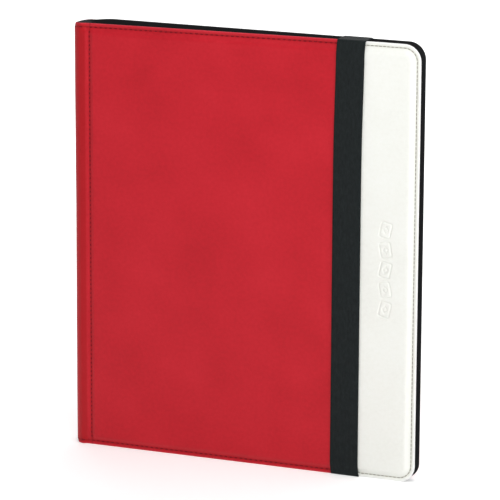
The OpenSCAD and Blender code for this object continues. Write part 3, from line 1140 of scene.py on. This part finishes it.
# The outermost pages' distances from the middle at the root and at the fore edge, and the round
# back on which the roots lie
ROOT_H = 6.65
FORE_H = 4.35
ROOT_R = 16
ROOT_X = 14.3
PAGE_TILT = math.asin((ROOT_H - FORE_H) / PAGE_W)
PAGE_COUNT = 20


def pocket_starts(size, gap, first):
    return [first + k * (size + gap) for k in range(3)]


POCKETS_W, POCKETS_H = (3 * size + 2 * gap for size, gap in zip(POCKET, POCKET_GAP))
POCKET_X = pocket_starts(POCKET[0], POCKET_GAP[0], PAGE_W - FORE_MARGIN - POCKETS_W)
POCKET_Z = pocket_starts(POCKET[1], POCKET_GAP[1], (PAGE_H - POCKETS_H) / 2)
# Where a pocket has points inside its edge, and how far inside its film has risen
LIP = [0, 0.15, 0.5, 1.2, 4]
FILM_RISE = 0.5


def page_lines(starts, size, end):
    """Places of the points across a page or up it."""
    inner = sorted(s + k for s in starts for k in LIP + [size - v for v in LIP])
    middle = [s + size * k / 6 for s in starts for k in range(1, 6)]
    rim = [0, 0.4, 2, PAGE_CORNER, end - PAGE_CORNER, end - 2, end - 0.4, end]
    return sorted(set(np.round(inner + middle + rim, 3)))


def in_pocket(x, z):
    """How far inside its pocket a point of a page is, below 0 outside."""
    across = max(min(x - s, s + POCKET[0] - x) for s in POCKET_X)
    up = max(min(z - s, s + POCKET[1] - z) for s in POCKET_Z)
    return min(across, up)


def page_mesh():
    """One page at its root: a core sheet with a clear pocket welded over each card space."""
    xs = page_lines(POCKET_X, POCKET[0], PAGE_W)
    zs = page_lines(POCKET_Z, POCKET[1], PAGE_H)
    points, uvs, films = [], [], []
    for face in (-1, 1):
        for z in zs:
            for x in xs:
                rise = FILM_T * float(ease(in_pocket(x, z) / FILM_RISE))
                px, pz = round_corner(x, z)
                points.append((px, face * (CORE_T / 2 + rise), pz))
                uvs.append((x, z))
    n = len(xs) * len(zs)
    front = grid_faces(len(zs), len(xs))
    for face in front:
        x, z = np.mean([uvs[i] for i in face], axis=0)
        films.append(int(in_pocket(x, z) > 0))
    faces = front + [tuple(i + n for i in reversed(face)) for face in front]
    grid = np.arange(n).reshape(len(zs), len(xs))
    rim = [*grid[0], *grid[1:, -1], *grid[-1, -2::-1], *grid[-2:0:-1, 0]]
    edge = [(rim[i - 1], rim[i], rim[i] + n, rim[i - 1] + n) for i in range(len(rim))]
    obj, _ = new_object("page", points, faces + edge, uvs, CORE)
    obj.data.materials.append(FILM)
    obj.data.polygons.foreach_set("material_index", films * 2 + [0] * len(edge))
    mesh = obj.data
    bpy.data.objects.remove(obj)
    return mesh


def round_corner(x, z):
    """Moves a point of the rectangle into the outline with two rounded fore-edge corners."""
    r = PAGE_CORNER
    u = max(0.0, (x - PAGE_W + r) / r)
    v = max(0.0, (abs(z - PAGE_H / 2) - PAGE_H / 2 + r) / r)
    if u == 0 or v == 0:
        return x, z
    sign = 1 if z > PAGE_H / 2 else -1
    px = PAGE_W - r + r * u * math.sqrt(1 - v * v / 2)
    pz = PAGE_H / 2 + sign * (PAGE_H / 2 - r + r * v * math.sqrt(1 - u * u / 2))
    return px, pz


def make_pages():
    mesh = page_mesh()
    root_centre = ROOT_X - math.sqrt(ROOT_R ** 2 - ROOT_H ** 2)
    for i in range(1, PAGE_COUNT + 1):
        name = f"page_{i:02d}"
        # From -1 for the first page to 1 for the last
        where = (2 * i - PAGE_COUNT - 1) / (PAGE_COUNT - 1)
        y = ROOT_H * where
        x = root_centre + math.sqrt(ROOT_R ** 2 - y * y) + SPINE_BACK
        page = add_object(name + "_sleeve", mesh)
        turn = Matrix.Rotation(-PAGE_TILT * where, 4, "Z")
        page.matrix_world = Matrix.Translation(Vector((x, y, PAGE_LOW[2])) * MM) @ turn
        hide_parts(name)
        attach(page, name)


# ---- Carried-over nodes, floor and lights ----


def dress_nodes():
    looks = {
        "spine_board": BOARD, "front_board": BOARD, "back_board": BOARD,
        "binding_block": TAPE, "binding_thread": BLACK_THREAD,
    }
    for name, material in looks.items():
        mesh = frame["nodes"][name].data
        mesh.materials.clear()
        mesh.materials.append(material)


# The floor: half its width, its front edge, where and how tightly it curves up, and its top
FLOOR_HALF = 5
FLOOR_FRONT = -4
FLOOR_BACK = 3
FLOOR_R = 1.5
FLOOR_TOP = 4
# Distances from the middle and its glow there, which keeps its far part white
GLOW = ((0.3, 0.26), (1.0, 0.4))


def make_floor():
    """A plain pale floor that curves up far behind the object."""
    profile = [(FLOOR_FRONT, 0), (FLOOR_BACK, 0)]
    for w in np.linspace(0.1, math.pi / 2, 16):
        profile.append((FLOOR_BACK + FLOOR_R * math.sin(w), FLOOR_R - FLOOR_R * math.cos(w)))
    profile.append((FLOOR_BACK + FLOOR_R, FLOOR_TOP))
    points = [(x, y, z) for y, z in profile for x in (-FLOOR_HALF, FLOOR_HALF)]
    mesh = bpy.data.meshes.new("floor")
    mesh.from_pydata(points, [], grid_faces(len(profile), 2))
    mesh.shade_smooth()
    look = Look("floor", Specular_IOR_Level=0.0)
    look.put(linear("ffffff"), look.shader.inputs["Emission Color"])
    distance = look.node("VectorMath", {"operation": "LENGTH"}, Vector=look.place())
    (near, low), (far, high) = GLOW
    glow = look.between(distance.outputs["Value"], low, high, near, far)
    look.put(glow, look.shader.inputs["Emission Strength"])
    speckle = look.noise(look.place(), 3.0, 2.0)
    colour = look.colours(speckle, (0.3, "eeeeee"), (0.7, "f2f2f2"))
    mesh.materials.append(look.finish(colour, look.between(speckle, 0.85, 0.95)))
    floor = add_object("floor", mesh)


def area_light(name, place, target, size, power):
    light = bpy.data.lights.new(name, "AREA")
    light.shape = "RECTANGLE"
    light.size, light.size_y = size
    light.energy = power
    obj = add_object(name, light)
    aim = Vector(place) - Vector(target)
    obj.matrix_world = Matrix.Translation(place) @ aim.to_track_quat("Z", "Y").to_matrix().to_4x4()


# Each light's name, place, target, size and watts. The last one lights the floor's far part.
MIDDLE = (0, 0, 0.17)
LIGHTS = [
    ("key", (1.6, -0.62, 0.95), MIDDLE, (0.8, 0.8), 12),
    ("front", (0.33, -0.78, 1.25), MIDDLE, (0.6, 0.6), 7.2),
    ("top", (0.7, 0.1, 2.1), MIDDLE, (1.6, 1.4), 6),
    ("back", (0, 1.2, 2.6), (0, 3.4, 0.3), (3.0, 1.0), 60),
]
WORLD_STRENGTH = 0.385


def make_lights():
    for light in LIGHTS:
        area_light(*light)
    world = bpy.data.worlds.new("world")
    world.use_nodes = True
    sky = world.node_tree.nodes["Background"]
    sky.inputs["Color"].default_value = (1, 1, 1, 1)
    sky.inputs["Strength"].default_value = WORLD_STRENGTH
    bpy.context.scene.world = world
    bpy.context.scene.view_settings.view_transform = "Standard"


# ---- Scene ----

make_floor()
make_lights()
make_spine()
make_covers()
make_panel()
make_foam()
make_stitches()
make_strap()
make_pages()
dress_nodes()
